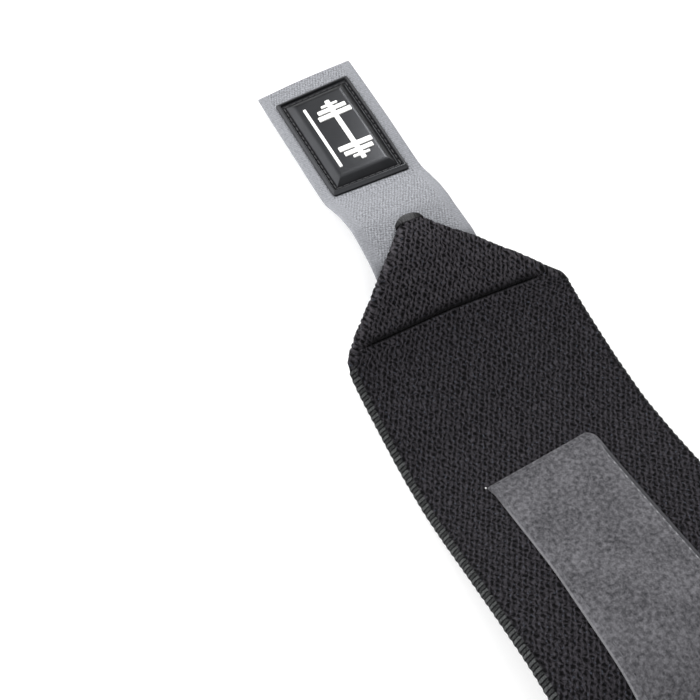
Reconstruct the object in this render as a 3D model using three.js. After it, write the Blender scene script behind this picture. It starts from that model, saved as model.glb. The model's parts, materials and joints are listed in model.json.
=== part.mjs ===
// Wrist wrap: a thick knitted elastic band with a folded point, a grey fastening tab that carries
// a moulded label, and a strip of loop pile along the band. It lies on a table in loose waves.
// Millimetres, +Z up, +X along the wrap from the tab to the hem, +Y across it.

import * as THREE from 'three';
import { mergeVertices } from 'three/addons/utils/BufferGeometryUtils.js';

// Driving sizes of the band
const bandWidth = 80;
const bandThickness = 2.5;
const bandLength = 390;
const hemLength = 14;
const flapShortfall = 3;
const creaseWidth = 2.4;
const creaseDepth = 0.7;
const selvedgeWidth = 1.6;
const selvedgeDrop = 0.7;
const flapSeamWidth = 0.6;
const flapSeamDepth = 1;
const cornerRounding = 4;

// Driving sizes of the small turned end at the tip
const capDepth = 4;
const capWidth = 10;

// Driving sizes of the tab
const tapeWidth = 38;
const tapeThickness = 1.3;
const tabLength = 84;
const tapeTuck = 34;
const tapeEndBow = 0.8;
const hookThickness = 0.8;
const hookMargin = 1.5;

// Driving sizes of the moulded label
const labelLength = 49;
const labelWidth = 30;
const labelSetback = 8;
const labelHeight = 2.6;
const labelBorder = 5.6;
const motifLength = 31;
const motifWidth = 13;
const motifHeight = 0.5;
const motifShift = 1.8;
const stripeWidth = 1.1;
const stripeMargin = 1.6;

// Driving sizes of the loop strip
const stripWidth = 38;
const stripStart = 96;
const stripLength = 190;
const stripThickness = 1.6;
const stripRounding = 0.5;

// How the cloth lies
const waveLength = 236;
const waveHeight = 26.5;
const gap = 0.3;
const step = 4;
const fineStep = 3;

// Sizes worked out from the driving ones
const halfBand = bandWidth / 2;
const pointLength = halfBand;
const pointStack = 2 * bandThickness;
const tapeTop = -(pointStack + gap);
const tapeUnder = tapeTop - tapeThickness;
const hookTop = tapeUnder - gap;
const labelUnder = tapeTop + gap;
const padTop = labelUnder + labelHeight;

// The tab's lie, from its free end to the tip. out is a share of the tab's length, lift a share of
// the wave's height, and tilt the turn about the wrap's length in degrees.
const tabLie = [
  { out: 1.0, lift: 0.291, tilt: 3.0 },
  { out: 0.905, lift: 0.321, tilt: 2.6 },
  { out: 0.62, lift: 0.415, tilt: 1.0 },
  { out: 0.333, lift: 0.517, tilt: -2.4 },
  { out: 0.238, lift: 0.66, tilt: -4.6 },
  { out: 0.119, lift: 0.838, tilt: -7.0 },
];

// The band's lie in its waves. along is a share of the waves' length.
const bandLie = [
  { along: 0, lift: 0.936, tilt: -9.0 },
  { along: 0.05, lift: 0.894, tilt: -6.0 },
  { along: 0.1, lift: 0.7, tilt: -1.5 },
  { along: 0.15, lift: 0.453, tilt: 2.0 },
  { along: 0.2, lift: 0.26, tilt: 3.4 },
  { along: 0.26, lift: 0.174, tilt: 4.0 },
  { along: 0.33, lift: 0.125, tilt: 4.4 },
  { along: 0.385, lift: 0.16, tilt: 3.6 },
  { along: 0.43, lift: 0.257, tilt: 2.4 },
  { along: 0.51, lift: 0.498, tilt: 0 },
  { along: 0.59, lift: 0.747, tilt: -1.0 },
  { along: 0.66, lift: 0.947, tilt: -0.6 },
  { along: 0.705, lift: 1.0, tilt: 0 },
  { along: 0.755, lift: 0.902, tilt: 0 },
  { along: 0.81, lift: 0.62, tilt: 0 },
  { along: 0.865, lift: 0.31, tilt: 0 },
  { along: 0.925, lift: 0.083, tilt: 0 },
  { along: 1, lift: 0, tilt: 0 },
];

// Past the waves the band lies flat, and it climbs by one thickness onto its own turned hem.
const hemLie = [
  { back: 2, lift: 0 },
  { back: 1, lift: 1 },
  { back: 0, lift: 1 },
];

// The label's edge profile. inset is a share of the border's width, rise of the label's height.
const labelProfile = [
  { inset: 0, rise: 0.25 },
  { inset: 0.06, rise: 0.5 },
  { inset: 0.32, rise: 0.56 },
  { inset: 0.38, rise: 0.27 },
  { inset: 0.55, rise: 0.27 },
  { inset: 0.6, rise: 0.42 },
  { inset: 1, rise: 1 },
];

// One half of the barbell. reach is a share of the motif's half length, spread of its half width.
const barbellHalf = [
  { reach: 0, spread: 0.14 },
  { reach: 0.46, spread: 0.14 },
  { reach: 0.46, spread: 1 },
  { reach: 0.6, spread: 1 },
  { reach: 0.6, spread: 0.14 },
  { reach: 0.65, spread: 0.14 },
  { reach: 0.65, spread: 0.86 },
  { reach: 0.77, spread: 0.86 },
  { reach: 0.77, spread: 0.14 },
  { reach: 0.82, spread: 0.14 },
  { reach: 0.82, spread: 0.5 },
  { reach: 0.89, spread: 0.5 },
  { reach: 0.89, spread: 0.14 },
  { reach: 1, spread: 0.14 },
];

const knitFinish = { color: 0x2a292c, roughness: 0.95, metalness: 0 };
const turnedFinish = { color: 0x3a3b3a, roughness: 0.85, metalness: 0 };
const tapeFinish = { color: 0xa4a5aa, roughness: 0.85, metalness: 0 };
const hookFinish = { color: 0x8c8d92, roughness: 0.6, metalness: 0 };
const labelFinish = { color: 0x2b2c2f, roughness: 0.45, metalness: 0 };
const printFinish = { color: 0xf4f4f2, roughness: 0.5, metalness: 0 };
const pileFinish = { color: 0x626165, roughness: 1, metalness: 0 };

// The whole lie as one run of rows in millimetres along the cloth, with the tip at 0.
const lieRow = (along, lift, tilt) => ({ along, lift, tilt });
const lie = [
  ...tabLie.map((row) => lieRow(-row.out * tabLength, row.lift * waveHeight, row.tilt)),
  ...bandLie.map((row) => lieRow(row.along * waveLength, row.lift * waveHeight, row.tilt)),
  ...hemLie.map((row) => lieRow(bandLength - row.back * hemLength, row.lift * bandThickness, 0)),
];

// A smooth run through one column of the rows that never swings past a row.
function smoothRun(rows, column) {
  const rise = rows.slice(1).map((row, i) => {
    const before = rows[i];
    return (row[column] - before[column]) / (row.along - before.along);
  });
  const slopes = rows.map((row, i) => {
    const before = rise[Math.max(i - 1, 0)];
    const after = rise[Math.min(i, rise.length - 1)];
    return before * after > 0 ? (2 * before * after) / (before + after) : 0;
  });
  return (along) => {
    const passed = rows.filter((row) => row.along <= along).length;
    const i = THREE.MathUtils.clamp(passed - 1, 0, rows.length - 2);
    const [from, to] = [rows[i], rows[i + 1]];
    const span = to.along - from.along;
    const t = THREE.MathUtils.clamp((along - from.along) / span, 0, 1);
    const start = (1 + 2 * t) * (1 - t) ** 2 * from[column] + span * t * (1 - t) ** 2 * slopes[i];
    const end = t ** 2 * (3 - 2 * t) * to[column] + span * t ** 2 * (t - 1) * slopes[i + 1];
    return start + end;
  };
}

const liftAt = smoothRun(lie, 'lift');
const tiltAt = smoothRun(lie, 'tilt');

// The cloth keeps its length, so each stretch of it advances in X by less where it climbs.
const walkStep = 0.5;
const climbAt = (along) => (liftAt(along + walkStep / 2) - liftAt(along - walkStep / 2)) / walkStep;

function walk(from, to) {
  const places = [{ along: from, x: 0 }];
  const count = Math.round((to - from) / walkStep);
  for (let i = 1; i <= count; i++) {
    const along = from + ((to - from) * i) / count;
    const before = places[i - 1];
    const middle = (along + before.along) / 2;
    const advance = Math.sqrt(1 - climbAt(middle) ** 2) * (along - before.along);
    places.push({ along, x: before.x + advance });
  }
  return places;
}

const walkStart = -tabLength - tapeEndBow;
const places = walk(walkStart, bandLength);

function walked(along) {
  const share = (along - walkStart) / (bandLength - walkStart);
  const i = THREE.MathUtils.clamp(Math.floor(share * (places.length - 1)), 0, places.length - 2);
  const t = (along - places[i].along) / (places[i + 1].along - places[i].along);
  return THREE.MathUtils.lerp(places[i].x, places[i + 1].x, t);
}

const tipX = walked(0);

// Lays a point of the flat pattern on the waves: along the cloth, across it, and up from the level
// of the band's top face.
function lay(along, across, up) {
  const climb = Math.asin(climbAt(along));
  const tilt = THREE.MathUtils.degToRad(tiltAt(along));
  const run = new THREE.Vector3(Math.cos(climb), 0, Math.sin(climb));
  const rise = new THREE.Vector3(-Math.sin(climb), 0, Math.cos(climb));
  const side = new THREE.Vector3(0, Math.cos(tilt), 0).addScaledVector(rise, Math.sin(tilt));
  const normal = new THREE.Vector3().crossVectors(run, side);
  return new THREE.Vector3(walked(along) - tipX, 0, liftAt(along) + bandThickness)
    .addScaledVector(side, across)
    .addScaledVector(normal, up);
}

// Fills the way between neighbouring marks with equal steps, none longer than the longest given.
function stopsBetween(marks, longest) {
  const stops = [marks[0]];
  for (let i = 1; i < marks.length; i++) {
    const count = Math.max(1, Math.ceil((marks[i] - marks[i - 1]) / longest - 1e-9));
    for (let k = 1; k <= count; k++) stops.push(THREE.MathUtils.lerp(marks[i - 1], marks[i], k / count));
  }
  return stops;
}

// A closed body made from a box's grid: stops along the cloth, columns across it, and a top and an
// under face whose heights are functions of the place.
function layeredBody({ stops, columns, place, top, under }) {
  const grid = new THREE.BoxGeometry(1, 1, 1, stops.length - 1, columns.length - 1, 1);
  grid.deleteAttribute('normal');
  grid.deleteAttribute('uv');
  const geometry = mergeVertices(grid, 1e-4);
  const position = geometry.getAttribute('position');
  for (let i = 0; i < position.count; i++) {
    const stop = stops[Math.round((position.getX(i) + 0.5) * (stops.length - 1))];
    const column = columns[Math.round((position.getY(i) + 0.5) * (columns.length - 1))];
    const spot = place(stop, column);
    const up = position.getZ(i) > 0 ? top(spot) : under(spot);
    const point = lay(spot.along, spot.across, up);
    position.setXYZ(i, point.x, point.y, point.z);
  }
  geometry.computeVertexNormals();
  return geometry;
}

function piece(name, geometry, finish) {
  const mesh = new THREE.Mesh(geometry, new THREE.MeshStandardMaterial(finish));
  mesh.name = name;
  return mesh;
}

// The band, its folded corners and its turned hem
const bandStart = capDepth + gap;

function halfWidthAt(along) {
  const share = (along - bandStart) / (pointLength - bandStart);
  const slanted = THREE.MathUtils.lerp(capWidth / 2, halfBand, share);
  const overrun = slanted - halfBand;
  if (Math.abs(overrun) >= cornerRounding) return Math.min(slanted, halfBand);
  return halfBand - (cornerRounding - overrun) ** 2 / (4 * cornerRounding);
}

function makeBand() {
  const creaseMiddle = pointLength - flapShortfall;
  const flapEnd = creaseMiddle - creaseWidth / 2;
  const hemStart = bandLength - hemLength;
  const columns = [
    { share: -1, offset: 0 },
    { share: -1, offset: selvedgeWidth },
    { share: -0.5, offset: 0 },
    { share: 0, offset: -flapSeamWidth },
    { share: 0, offset: 0 },
    { share: 0, offset: flapSeamWidth },
    { share: 0.5, offset: 0 },
    { share: 1, offset: -selvedgeWidth },
    { share: 1, offset: 0 },
  ];
  const marks = [
    bandStart,
    bandStart + selvedgeDrop,
    flapEnd - gap,
    flapEnd,
    creaseMiddle,
    creaseMiddle + creaseWidth / 2,
    pointLength + cornerRounding,
    waveLength,
    bandLength - 2 * hemLength,
    hemStart - gap,
    hemStart,
    bandLength - selvedgeDrop,
    bandLength,
  ];
  const isEnd = (spot) => spot.along === bandStart || spot.along === bandLength;
  const edgeDrop = (spot) => (spot.edge || isEnd(spot) ? selvedgeDrop : 0);
  const layers = (spot) => (spot.along < flapEnd || spot.along >= hemStart ? 2 : 1);
  const seam = (spot) => (spot.middle && spot.along < flapEnd ? flapSeamDepth : 0);
  return layeredBody({
    stops: stopsBetween(marks, step),
    columns,
    place: (along, column) => ({
      along,
      across: column.share * halfWidthAt(along) + column.offset,
      edge: Math.abs(column.share) === 1 && column.offset === 0,
      middle: column.share === 0 && column.offset === 0,
    }),
    top: (spot) => -edgeDrop(spot) - (spot.along === creaseMiddle ? creaseDepth : 0),
    under: (spot) => -layers(spot) * bandThickness + edgeDrop(spot) + seam(spot),
  });
}

// The small turned end that wraps the tip
function makeTipCap() {
  const halfCap = capWidth / 2;
  const nose = 0.45;
  return layeredBody({
    stops: stopsBetween([0, capDepth], capDepth / 4),
    columns: [-1, -0.6, 0, 0.6, 1],
    place: (along, share) => {
      const bulge = Math.sqrt(1 - (1 - along / capDepth) ** 2);
      return {
        along,
        across: share * THREE.MathUtils.lerp(nose, 1, bulge) * halfCap,
        rim: Math.abs(share) === 1 || along === 0,
      };
    },
    top: (spot) => (spot.rim ? -2 * selvedgeDrop : -gap),
    under: (spot) => -pointStack + (spot.rim ? 2 * selvedgeDrop : gap),
  });
}

const labelStart = -tabLength + labelSetback;
const labelEnd = labelStart + labelLength;

// The tab's tape and the hooks on its under face
const tapeColumns = [-1, -0.5, 0, 0.5, 1];

function tapeLayer(inset, top, under) {
  const half = tapeWidth / 2 - inset;
  return layeredBody({
    stops: stopsBetween([inset - tabLength, labelStart, labelEnd, 0, tapeTuck - inset], fineStep),
    columns: tapeColumns,
    place: (along, share) => {
      const outward = THREE.MathUtils.clamp(-along / tabLength, 0, 1);
      return { along: along - tapeEndBow * outward * (1 - share ** 2), across: share * half };
    },
    top: () => top,
    under: () => under,
  });
}

const makeTabTape = () => tapeLayer(0, tapeTop, tapeUnder);
const makeHookField = () => tapeLayer(hookMargin, hookTop, hookTop - hookThickness);

// The moulded label, with a rim, a stitched channel and a raised pad with sloped sides
function labelRise(inset) {
  const share = THREE.MathUtils.clamp(inset / labelBorder, 0, 1);
  const i = Math.max(labelProfile.findIndex((row) => row.inset >= share), 1);
  const [before, after] = [labelProfile[i - 1], labelProfile[i]];
  const t = (share - before.inset) / (after.inset - before.inset);
  return THREE.MathUtils.lerp(before.rise, after.rise, t) * labelHeight;
}

function makeLabel() {
  const insets = labelProfile.map((row) => row.inset * labelBorder);
  const right = insets.map((inset) => inset - labelWidth / 2);
  const left = insets.map((inset) => labelWidth / 2 - inset).reverse();
  const near = insets.map((inset) => labelStart + inset);
  const far = insets.map((inset) => labelEnd - inset).reverse();
  const pad = stopsBetween([near.pop(), far.shift()], fineStep);
  return layeredBody({
    stops: [...near, ...pad, ...far],
    columns: [...right, ...left],
    place: (along, column) => ({
      along,
      across: column,
      inset: Math.min(along - labelStart, labelEnd - along, labelWidth / 2 - Math.abs(column)),
    }),
    top: (spot) => labelUnder + labelRise(spot.inset),
    under: () => labelUnder,
  });
}

// Flat raised shapes are extruded from an outline and laid on the pad's face.
function raisedShape(outline) {
  const extruded = new THREE.ExtrudeGeometry(new THREE.Shape(outline), {
    depth: motifHeight,
    bevelEnabled: false,
  });
  extruded.deleteAttribute('normal');
  extruded.deleteAttribute('uv');
  const geometry = mergeVertices(extruded, 1e-4);
  const position = geometry.getAttribute('position');
  for (let i = 0; i < position.count; i++) {
    const up = padTop + gap + position.getZ(i);
    const point = lay(position.getX(i), position.getY(i), up);
    position.setXYZ(i, point.x, point.y, point.z);
  }
  geometry.computeVertexNormals();
  return geometry;
}

const labelMiddle = (labelStart + labelEnd) / 2;

function makeBarbell() {
  const corner = (row, end, side) => {
    const along = labelMiddle + (end * row.reach * motifLength) / 2;
    return new THREE.Vector2(along, motifShift + (side * row.spread * motifWidth) / 2);
  };
  const half = barbellHalf.slice(1);
  const back = [...half].reverse();
  return raisedShape([
    ...half.map((row) => corner(row, 1, -1)),
    ...back.map((row) => corner(row, 1, 1)),
    ...half.map((row) => corner(row, -1, 1)),
    ...back.map((row) => corner(row, -1, -1)),
  ]);
}

function makeStripe() {
  const edge = -labelWidth / 2 + labelBorder + stripeMargin;
  const ends = [labelMiddle - motifLength / 2, labelMiddle + motifLength / 2];
  return raisedShape([
    new THREE.Vector2(ends[0], edge),
    new THREE.Vector2(ends[1], edge),
    new THREE.Vector2(ends[1], edge + stripeWidth),
    new THREE.Vector2(ends[0], edge + stripeWidth),
  ]);
}

// The strip of loop pile sewn on the band's top face
function makeLoopStrip() {
  const half = stripWidth / 2;
  const stripEnd = stripStart + stripLength;
  const marks = [stripStart, stripStart + stripRounding, waveLength, stripEnd - stripRounding, stripEnd];
  const inner = 1 - stripRounding / half;
  return layeredBody({
    stops: stopsBetween(marks, step),
    columns: [-1, -inner, 0, inner, 1],
    place: (along, share) => ({
      along,
      across: share * half,
      rim: Math.abs(share) === 1 || along === stripStart || along === stripEnd,
    }),
    top: (spot) => gap + stripThickness - (spot.rim ? stripRounding : 0),
    under: () => gap,
  });
}

const wrap = new THREE.Group();
wrap.add(
  piece('band', makeBand(), knitFinish),
  piece('tip_cap', makeTipCap(), turnedFinish),
  piece('tab_tape', makeTabTape(), tapeFinish),
  piece('hook_field', makeHookField(), hookFinish),
  piece('label', makeLabel(), labelFinish),
  piece('label_motif', makeBarbell(), printFinish),
  piece('label_stripe', makeStripe(), printFinish),
  piece('loop_strip', makeLoopStrip(), pileFinish),
);

// The origin goes to the middle of the wrap's length and width, on the table.
const box = new THREE.Box3().setFromObject(wrap, true);
const middle = box.getCenter(new THREE.Vector3());
wrap.position.set(-middle.x, -middle.y, -box.min.z);
wrap.updateMatrixWorld(true);

export default wrap;
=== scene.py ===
# %% [markdown]
# # A wrist wrap, dressed in Blender
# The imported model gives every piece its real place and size. This script puts the cloth, the
# pile, the moulded label and the sewing round those solids, and lights them for a studio picture.

# %% Load the frame
import json
import math

import bmesh
import bpy
import numpy as np
from mathutils import Matrix, Vector

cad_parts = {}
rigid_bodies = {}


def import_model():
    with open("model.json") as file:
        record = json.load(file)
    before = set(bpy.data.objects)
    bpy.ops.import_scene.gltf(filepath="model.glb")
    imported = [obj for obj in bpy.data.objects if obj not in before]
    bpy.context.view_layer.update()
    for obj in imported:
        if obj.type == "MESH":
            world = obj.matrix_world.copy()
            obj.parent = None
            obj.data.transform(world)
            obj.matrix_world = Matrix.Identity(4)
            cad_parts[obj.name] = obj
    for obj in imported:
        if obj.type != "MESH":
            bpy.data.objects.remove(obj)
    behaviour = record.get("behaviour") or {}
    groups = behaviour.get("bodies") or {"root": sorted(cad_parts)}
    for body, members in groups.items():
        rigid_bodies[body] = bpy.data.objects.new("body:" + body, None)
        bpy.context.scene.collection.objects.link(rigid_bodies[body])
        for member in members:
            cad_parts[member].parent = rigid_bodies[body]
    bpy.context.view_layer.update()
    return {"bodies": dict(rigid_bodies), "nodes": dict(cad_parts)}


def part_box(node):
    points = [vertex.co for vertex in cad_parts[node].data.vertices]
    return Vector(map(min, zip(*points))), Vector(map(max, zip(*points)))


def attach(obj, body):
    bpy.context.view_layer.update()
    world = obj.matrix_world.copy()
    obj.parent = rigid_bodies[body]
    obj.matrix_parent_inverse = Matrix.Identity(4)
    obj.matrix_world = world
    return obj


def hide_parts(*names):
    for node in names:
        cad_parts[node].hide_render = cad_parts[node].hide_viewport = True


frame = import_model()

BODY = next(iter(frame["bodies"]))
print("nodes:", sorted(frame["nodes"]), "body:", BODY)

# %% [markdown]
# ## The wrap's own measures
# The wrap is drawn flat first, as it was cut and sewn, and then laid on its waves. So every
# piece is described by three millimetre values: along the cloth from the tip, across it from the
# middle, and up from the level of the band's top face. One function turns these into metres.

# %% Sizes
MM = 0.001
BAND_WIDTH = 80.0
BAND_THICKNESS = 2.5
BAND_LENGTH = 390.0
HEM_LENGTH = 14.0
TAB_LENGTH = 84.0
TAPE_TUCK = 34.0
TAPE_WIDTH = 38.0
TAPE_THICKNESS = 1.3
TAPE_END_BOW = 0.35
TAPE_TRIM = 0.45
LABEL_LENGTH = 49.0
LABEL_WIDTH = 30.0
LABEL_SETBACK = 8.0
STRIP_START = 96.0
STRIP_LENGTH = 190.0
STRIP_WIDTH = 38.0
WAVE_LENGTH = 236.0
WAVE_HEIGHT = 26.5
SEAT = 0.05
TAPE_TOP = -2 * BAND_THICKNESS - SEAT

TAB_LIE = [
    dict(out=1.0, lift=0.291, tilt=3.0),
    dict(out=0.905, lift=0.321, tilt=2.6),
    dict(out=0.62, lift=0.415, tilt=1.0),
    dict(out=0.333, lift=0.517, tilt=-2.4),
    dict(out=0.238, lift=0.66, tilt=-4.6),
    dict(out=0.119, lift=0.838, tilt=-7.0),
]
BAND_LIE = [
    dict(along=0, lift=0.936, tilt=-9.0),
    dict(along=0.05, lift=0.894, tilt=-6.0),
    dict(along=0.1, lift=0.7, tilt=-1.5),
    dict(along=0.15, lift=0.453, tilt=2.0),
    dict(along=0.2, lift=0.26, tilt=3.4),
    dict(along=0.26, lift=0.174, tilt=4.0),
    dict(along=0.33, lift=0.125, tilt=4.4),
    dict(along=0.385, lift=0.16, tilt=3.6),
    dict(along=0.43, lift=0.257, tilt=2.4),
    dict(along=0.51, lift=0.498, tilt=0),
    dict(along=0.59, lift=0.747, tilt=-1.0),
    dict(along=0.66, lift=0.947, tilt=-0.6),
    dict(along=0.705, lift=1.0, tilt=0),
    dict(along=0.755, lift=0.902, tilt=0),
    dict(along=0.81, lift=0.62, tilt=0),
    dict(along=0.865, lift=0.31, tilt=0),
    dict(along=0.925, lift=0.083, tilt=0),
    dict(along=1, lift=0, tilt=0),
]
HEM_LIE = [dict(back=2, lift=0), dict(back=1, lift=1), dict(back=0, lift=1)]
print("along the cloth:", TAB_LENGTH, "mm of tab and", BAND_LENGTH, "mm of band")


# %% [markdown]
# ## How the cloth lies
# A smooth run goes through the rows without swinging past them, so a flat stretch stays flat.
# The cloth keeps its length on the waves: where it climbs, it advances less in X.

# %% The lie of the cloth
def smooth_run(along, value):
    along, value = np.array(along, float), np.array(value, float)
    rise = np.diff(value) / np.diff(along)
    before = np.append(rise[:1], rise)
    after = np.append(rise, rise[-1:])
    same_way = before * after > 0
    total = np.where(same_way, before + after, 1.0)
    slope = np.where(same_way, 2 * before * after / total, 0.0)

    def run(place):
        i = np.clip(np.searchsorted(along, place, side="right") - 1, 0, len(along) - 2)
        span = along[i + 1] - along[i]
        t = np.clip((place - along[i]) / span, 0, 1)
        start = (1 + 2 * t) * (1 - t) ** 2 * value[i] + span * t * (1 - t) ** 2 * slope[i]
        end = t**2 * (3 - 2 * t) * value[i + 1] + span * t**2 * (t - 1) * slope[i + 1]
        return start + end

    return run


lie_along = [-row["out"] * TAB_LENGTH for row in TAB_LIE]
lie_along += [row["along"] * WAVE_LENGTH for row in BAND_LIE]
lie_along += [BAND_LENGTH - row["back"] * HEM_LENGTH for row in HEM_LIE]
lie_lift = [row["lift"] * WAVE_HEIGHT for row in TAB_LIE + BAND_LIE]
lie_lift += [row["lift"] * BAND_THICKNESS for row in HEM_LIE]
lie_tilt = [row["tilt"] for row in TAB_LIE + BAND_LIE] + [0 for row in HEM_LIE]
lift_at = smooth_run(lie_along, lie_lift)
tilt_at = smooth_run(lie_along, lie_tilt)

WALK_STEP = 0.5
WALK_MARGIN = 4.0


def climb_at(along):
    return (lift_at(along + WALK_STEP / 2) - lift_at(along - WALK_STEP / 2)) / WALK_STEP


walk = np.arange(-TAB_LENGTH - WALK_MARGIN, BAND_LENGTH + WALK_MARGIN + WALK_STEP, WALK_STEP)
advance = np.sqrt(1 - climb_at(walk[:-1] + WALK_STEP / 2) ** 2) * WALK_STEP
walk_x = np.append(0, np.cumsum(advance))
hem_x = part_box("band")[1][0] / MM
walk_x += hem_x - np.interp(BAND_LENGTH, walk, walk_x)


def lay(along, across, up):
    """Turns flat places in millimetres into an array of places on the waves in metres."""
    climb = np.arcsin(climb_at(along))
    tilt = np.radians(tilt_at(along))
    run_x, run_z = np.cos(climb), np.sin(climb)
    side = np.stack([-run_z * np.sin(tilt), np.cos(tilt), run_x * np.sin(tilt)], -1)
    normal = np.stack([-run_z * np.cos(tilt), -np.sin(tilt), run_x * np.cos(tilt)], -1)
    height = lift_at(along) + BAND_THICKNESS
    middle = np.stack([np.interp(along, walk, walk_x), 0 * along, height], -1)
    return (middle + across[:, None] * side + up[:, None] * normal) * MM


tip = lay(np.array([0.0]), np.array([0.0]), np.array([0.0]))[0]


# %% [markdown]
# ## Slabs of cloth
# Band, tape and pile are all flat goods. Each starts as one grid, which is extruded once into a
# closed slab. Its rows and columns are then spaced as the cloth needs: close together at an edge,
# and in step with the stitches over the face. The flat place of each point is kept as a UV map
# in millimetres, so that a weave or knit follows the cloth over every bend.

# %% Helpers for slabs
def read_points(mesh):
    points = np.zeros(len(mesh.vertices) * 3)
    mesh.vertices.foreach_get("co", points)
    return points.reshape(-1, 3)


def write_points(mesh, points):
    mesh.vertices.foreach_set("co", points.ravel())
    mesh.update()


def write_cloth_map(mesh, along, across):
    corners = np.zeros(len(mesh.loops), int)
    mesh.loops.foreach_get("vertex_index", corners)
    layer = mesh.uv_layers.new(name="cloth")
    layer.data.foreach_set("uv", np.stack([along[corners], across[corners]], -1).ravel())


def slab(name, rows, columns, trim=None):
    """A closed slab with a row at each place along the cloth and a column at each place across.
    trim says which flat places are left out. Returns the mesh, the flat place of each point, and
    whether the point lies on the face side."""
    bm = bmesh.new()
    bmesh.ops.create_grid(bm, x_segments=len(rows) - 1, y_segments=len(columns) - 1, size=0.5)

    def stop(value, stops):
        return stops[int(round((value + 0.5) * (len(stops) - 1)))]

    def trimmed(face):
        return all(trim(stop(v.co.x, rows), stop(v.co.y, columns)) for v in face.verts)

    if trim:
        spare = [face for face in bm.faces if trimmed(face)]
        bmesh.ops.delete(bm, geom=spare, context="FACES")
    extruded = bmesh.ops.extrude_face_region(bm, geom=bm.faces[:])
    under = [item for item in extruded["geom"] if isinstance(item, bmesh.types.BMVert)]
    bmesh.ops.translate(bm, vec=(0, 0, -1), verts=under)
    bmesh.ops.recalc_face_normals(bm, faces=bm.faces[:])
    mesh = bpy.data.meshes.new(name)
    bm.to_mesh(mesh)
    bm.free()
    points = read_points(mesh)
    along = rows[np.rint((points[:, 0] + 0.5) * (len(rows) - 1)).astype(int)]
    across = columns[np.rint((points[:, 1] + 0.5) * (len(columns) - 1)).astype(int)]
    return mesh, along, across, points[:, 2] > -0.5


def add_piece(mesh, material, replaces=()):
    """Puts a finished mesh in the scene, on the wrap's body and in its material slot."""
    mesh.materials.append(material)
    mesh.shade_smooth()
    piece = bpy.data.objects.new(mesh.name, mesh)
    bpy.context.scene.collection.objects.link(piece)
    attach(piece, BODY)
    if replaces:
        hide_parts(*replaces)
    print(f"{mesh.name}: {len(mesh.vertices)} points, {len(mesh.polygons)} faces")
    return piece


# %% [markdown]
# ## Shader maths
# A finish is built from expressions on sockets. A Value wraps one socket, and its operators add
# Math nodes. Every other node comes from one method of the Finish.

# %% Sockets as values
class Value:
    def __init__(self, finish, socket):
        self.finish = finish
        self.socket = socket

    def math(self, operation, *values):
        return self.finish.node("ShaderNodeMath", {"operation": operation}, list(values))

    def __add__(self, other):
        return self.math("ADD", self, other)

    def __sub__(self, other):
        return self.math("SUBTRACT", self, other)

    def __rsub__(self, other):
        return self.math("SUBTRACT", other, self)

    def __mul__(self, other):
        return self.math("MULTIPLY", self, other)

    def __truediv__(self, other):
        return self.math("DIVIDE", self, other)

    def __pow__(self, other):
        return self.math("POWER", self, other)

    __rmul__ = __mul__

    def cosine(self):
        return self.math("COSINE", self)

    def absolute(self):
        return self.math("ABSOLUTE", self)

    def least(self, other):
        return self.math("MINIMUM", self, other)

    def ramp(self, low, high):
        """0 below low, 1 above high, and smooth between them."""
        return self.finish.node(
            "ShaderNodeMapRange",
            {"interpolation_type": "SMOOTHSTEP", "clamp": True},
            {"Value": self, "From Min": low, "From Max": high},
        )


class Finish:
    def __init__(self, name):
        self.material = bpy.data.materials.new(name)
        self.material.use_nodes = True
        self.tree = self.material.node_tree
        self.tree.nodes.clear()
        self.output = self.tree.nodes.new("ShaderNodeOutputMaterial")

    def node(self, kind, settings=None, sockets=None, output=0):
        """Adds a node with its settings, then its sockets by name or place. Returns one output."""
        made = self.tree.nodes.new(kind)
        for key, value in (settings or {}).items():
            setattr(made, key, value)
        pairs = sockets.items() if isinstance(sockets, dict) else enumerate(sockets or [])
        for key, value in pairs:
            if isinstance(value, Value):
                self.tree.links.new(value.socket, made.inputs[key])
            else:
                made.inputs[key].default_value = value
        return Value(self, made.outputs[output])

    def cloth(self):
        """The flat place on the cloth, in millimetres along and across."""
        place = self.node("ShaderNodeUVMap", {"uv_map": "cloth"})
        split = self.node("ShaderNodeSeparateXYZ", None, [place])
        return place, split, Value(self, split.socket.node.outputs[1])

    def join(self, x, y):
        """A place from two values."""
        return self.node("ShaderNodeCombineXYZ", None, [x, y])

    def spot(self):
        """The place in space, in metres."""
        return self.node("ShaderNodeTexCoord", None, None, "Object")

    def noise(self, place, scale, detail=2.0, roughness=0.5, distortion=0.0):
        return self.node(
            "ShaderNodeTexNoise",
            None,
            {
                "Vector": place,
                "Scale": scale,
                "Detail": detail,
                "Roughness": roughness,
                "Distortion": distortion,
            },
        )

    def mix(self, factor, first, second):
        """A colour between two colours. The colour sockets of a Mix node come after the others."""
        sockets = {0: factor, 6: first, 7: second}
        return self.node("ShaderNodeMix", {"data_type": "RGBA"}, sockets, 2)

    def bump(self, height, distance, strength=1.0):
        return self.node(
            "ShaderNodeBump", None, {"Height": height, "Distance": distance, "Strength": strength}
        )

    def surface(self, **sockets):
        """Closes the finish with one Principled shader, whose sockets are given by name."""
        named = {key.replace("_", " ").title().replace("Ior", "IOR"): sockets[key] for key in sockets}
        shader = self.node("ShaderNodeBsdfPrincipled", None, named)
        self.tree.links.new(shader.socket, self.output.inputs["Surface"])
        return self.material


def grey(red, green, blue):
    """A linear colour from the usual 0 to 255 values."""
    def linear(value):
        share = value / 255
        return share / 12.92 if share <= 0.04045 else ((share + 0.055) / 1.055) ** 2.4

    return (linear(red), linear(green), linear(blue), 1.0)


# %% [markdown]
# ## The camera
# The camera looks from the height and side that the photo was taken from, with a short
# telephoto lens. Its turn is built from the azimuth and elevation, so it stays level.

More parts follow.
